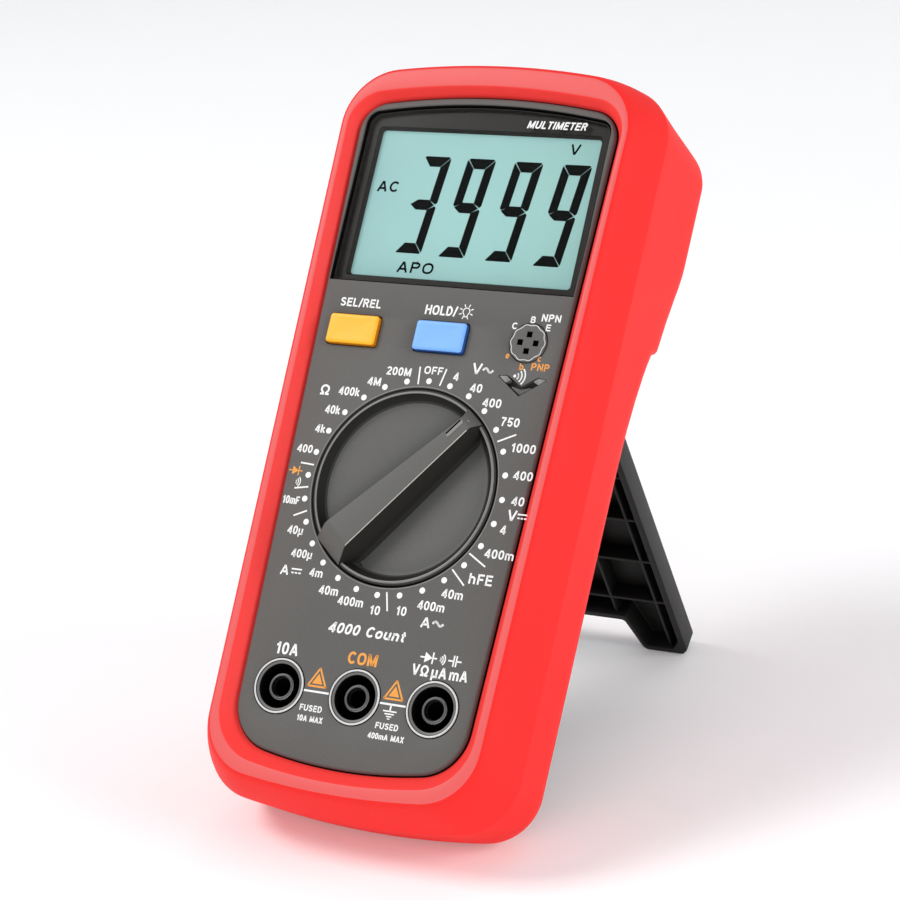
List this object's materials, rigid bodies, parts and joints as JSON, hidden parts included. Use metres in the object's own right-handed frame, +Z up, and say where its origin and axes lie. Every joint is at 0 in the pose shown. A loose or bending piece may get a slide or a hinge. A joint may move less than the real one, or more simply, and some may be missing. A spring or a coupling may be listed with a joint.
{
  "type": "bench multimeter",
  "caption": "Pocket-case digital multimeter in a red rubber holster, leaning back on its fold-out black stand, with rotary range dial, display, two keys and test lead sockets.",
  "frame": {"origin": "centre of the base of the bounding box, on the floor the stand and the bottom edge rest on", "axes": "+Z up, the leaning face looks towards -Y and up, +X to the right of someone reading it"},
  "size_m": [0.0812, 0.1328, 0.1475],
  "materials": {
    "holster": "soft matt red over-moulding",
    "front_case": "fine spark texture",
    "rear_case": "fine spark texture",
    "lcd_window": "polished clear acrylic",
    "lcd_glass": "display glass with polariser",
    "lcd_frame": "moulded",
    "lcd_backlight": "clear light guide",
    "zebra_strips": "silicone",
    "main_pcb": "green solder mask on glass laminate",
    "dial_knob": "fine spark texture",
    "switch_rotor": "natural acetal",
    "wiper_contacts": "phosphor bronze",
    "detent_balls": "polished",
    "detent_springs": "bright wire",
    "select_button": "satin yellow",
    "hold_button": "satin blue",
    "select_dome": "silicone",
    "hold_dome": "silicone",
    "transistor_socket": "moulded",
    "socket_contacts": "tinned",
    "buzzer": "moulded",
    "jack_shroud_10a": "moulded with a printed ring",
    "jack_shroud_com": "moulded with a printed ring",
    "jack_shroud_v": "moulded with a printed ring",
    "jack_sleeves": "turned, nickel flash",
    "fuse_high": "ceramic tube, metal caps",
    "fuse_low": "ceramic tube, metal caps",
    "fuse_clips": "stamped",
    "shunt_wire": "bare resistance wire",
    "main_chip": "moulded, tinned leads",
    "capacitors": "can",
    "ptc_discs": "dipped",
    "resistors": "lacquered",
    "range_relays": "moulded",
    "battery_9v": "printed steel jacket",
    "contact_plates": "plated",
    "battery_cover": "fine spark texture",
    "battery_screw": "blackened",
    "case_screws": "blackened",
    "pcb_screws": "zinc plated",
    "stand": "fine spark texture",
    "stand_pins": "bright"
  },
  "bodies": {
    "meter": {"holster": "holster", "front_case": "front_case", "rear_case": "rear_case", "lcd_window": "lcd_window", "lcd_glass": "lcd_glass", "lcd_frame": "lcd_frame", "lcd_backlight": "lcd_backlight", "zebra_strips": "zebra_strips", "main_pcb": "main_pcb", "select_dome": "select_dome", "hold_dome": "hold_dome", "transistor_socket": "transistor_socket", "socket_contacts": "socket_contacts", "buzzer": "buzzer", "jack_shroud_10a": "jack_shroud_10a", "jack_shroud_com": "jack_shroud_com", "jack_shroud_v": "jack_shroud_v", "jack_sleeves": "jack_sleeves", "fuse_high": "fuse_high", "fuse_low": "fuse_low", "fuse_clips": "fuse_clips", "shunt_wire": "shunt_wire", "main_chip": "main_chip", "capacitors": "capacitors", "ptc_discs": "ptc_discs", "resistors": "resistors", "range_relays": "range_relays", "battery_9v": "battery_9v", "contact_plates": "contact_plates", "battery_cover": "battery_cover", "battery_screw": "battery_screw", "case_screws": "case_screws", "pcb_screws": "pcb_screws"},
    "dial": {"dial_knob": "dial_knob", "switch_rotor": "switch_rotor", "wiper_contacts": "wiper_contacts", "detent_balls": "detent_balls", "detent_springs": "detent_springs"},
    "stand": {"stand": "stand", "stand_pins": "stand_pins"},
    "select_key": {"select_button": "select_button"},
    "hold_key": {"hold_button": "hold_button"}
  },
  "joints": [
    {"name": "dial_turn", "type": "hinge", "parent": "meter", "child": "dial", "pos_m": [0, -0.02175, 0.07028], "axis": [0, -0.7784, 0.6278], "continuous": true},
    {"name": "stand_fold", "type": "hinge", "parent": "meter", "child": "stand", "pos_m": [0, 0.01736, 0.07894], "axis": [1, 0, 0], "range_deg": [-62.7, 0]},
    {"name": "select_press", "type": "slide", "parent": "meter", "child": "select_key", "axis": [0, 0.7784, -0.6278], "range_m": [0, 0.001], "stiffness_N_per_m": 400, "deforming": ["select_dome"]},
    {"name": "hold_press", "type": "slide", "parent": "meter", "child": "hold_key", "axis": [0, 0.7784, -0.6278], "range_m": [0, 0.001], "stiffness_N_per_m": 400, "deforming": ["hold_dome"]}
  ]
}
